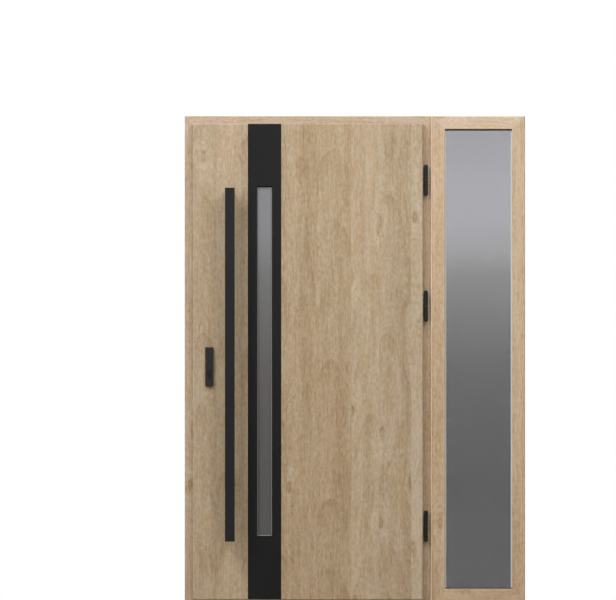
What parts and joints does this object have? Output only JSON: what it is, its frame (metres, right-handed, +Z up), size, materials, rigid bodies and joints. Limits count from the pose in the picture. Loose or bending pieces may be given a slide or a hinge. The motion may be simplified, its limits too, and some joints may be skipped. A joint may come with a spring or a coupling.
{
  "type": "exterior door",
  "caption": "Exterior door set: oak-faced outward-opening leaf with a black glazed insert, long pull bar and barrel hinges, in a rebated frame beside a fixed glazed sidelight.",
  "frame": {"origin": "middle of the set's width, middle of the door frame's depth, on the underside of the threshold", "axes": "+X to the right seen from outside, +Y indoors, +Z up"},
  "size_m": [1.465, 0.199, 2.09],
  "materials": {
    "oak_leaf": "pale oak foil, satin, grain upright",
    "oak_leaf_edge": "pale oak edging, satin",
    "oak_leaf_inside": "pale oak foil, satin, grain upright",
    "oak_jamb": "pale oak foil, satin, grain upright",
    "oak_head": "pale oak foil, satin, grain level",
    "oak_stile": "pale oak foil, satin, grain upright",
    "oak_strip": "pale oak foil, satin, grain upright",
    "oak_rail": "pale oak foil, satin, grain level",
    "oak_bead_upright": "pale oak foil, satin, grain upright",
    "oak_bead_level": "pale oak foil, satin, grain level",
    "insert_black": "matt black powder coat",
    "trim_black": "matt black powder coat",
    "pull_black": "matt black powder coat, fine texture",
    "lock_black": "matt black powder coat",
    "hinge_black": "satin black coat",
    "gasket_black": "black rubber, dull",
    "seal_black": "black foam seal, dull",
    "tape_pale": "pale grey glazing tape",
    "slot_glass": "grey reflective glass",
    "sidelight_glass": "grey reflective glass",
    "threshold_aluminium": "natural anodised, brushed along its length",
    "spacer_aluminium": "mill finish",
    "screw_steel": "bright zinc plated",
    "lock_steel": "brushed stainless",
    "cylinder_dark": "dark satin coat"
  },
  "bodies": {
    "frame": {"left_jamb": "oak_jamb", "right_jamb": "oak_jamb", "head": "oak_head", "threshold": "threshold_aluminium", "frame_seal": "seal_black", "strike_plates": "lock_steel", "hinge_pivots": "screw_steel", "hinge_frame_screws": "screw_steel", "joint_strip": "oak_strip", "upper_hinge_frame_knuckle": "hinge_black", "middle_hinge_frame_knuckle": "hinge_black", "lower_hinge_frame_knuckle": "hinge_black", "sidelight_left_stile": "oak_stile", "sidelight_right_stile": "oak_stile", "sidelight_top_rail": "oak_rail", "sidelight_bottom_rail": "oak_rail", "sidelight_left_bead": "oak_bead_upright", "sidelight_right_bead": "oak_bead_upright", "sidelight_top_bead": "oak_bead_level", "sidelight_bottom_bead": "oak_bead_level", "sidelight_outer_pane": "sidelight_glass", "sidelight_spacer": "spacer_aluminium", "sidelight_inner_pane": "sidelight_glass", "sidelight_side_tapes": "tape_pale", "sidelight_end_gaskets": "gasket_black"},
    "leaf": {"leaf_outer_panel": "oak_leaf", "leaf_core": "oak_leaf_edge", "leaf_inner_panel": "oak_leaf_inside", "black_insert": "insert_black", "slot_gasket": "gasket_black", "slot_outer_pane": "slot_glass", "slot_spacer": "spacer_aluminium", "slot_inner_pane": "slot_glass", "slot_inner_trim": "trim_black", "pull_bar": "pull_black", "pull_posts": "pull_black", "escutcheon": "lock_black", "lock_cylinder": "cylinder_dark", "inside_plate": "lock_black", "inside_lever": "lock_black", "lock_faceplate": "lock_steel", "lock_bolts": "lock_steel", "hinge_leaf_screws": "screw_steel", "upper_hinge_leaf_knuckle": "hinge_black", "middle_hinge_leaf_knuckle": "hinge_black", "lower_hinge_leaf_knuckle": "hinge_black"}
  },
  "joints": [
    {"name": "leaf_swing", "type": "hinge", "parent": "frame", "child": "leaf", "pos_m": [0.306, -0.0635, 0], "axis": [0, 0, 1], "range_deg": [0, 110]}
  ]
}
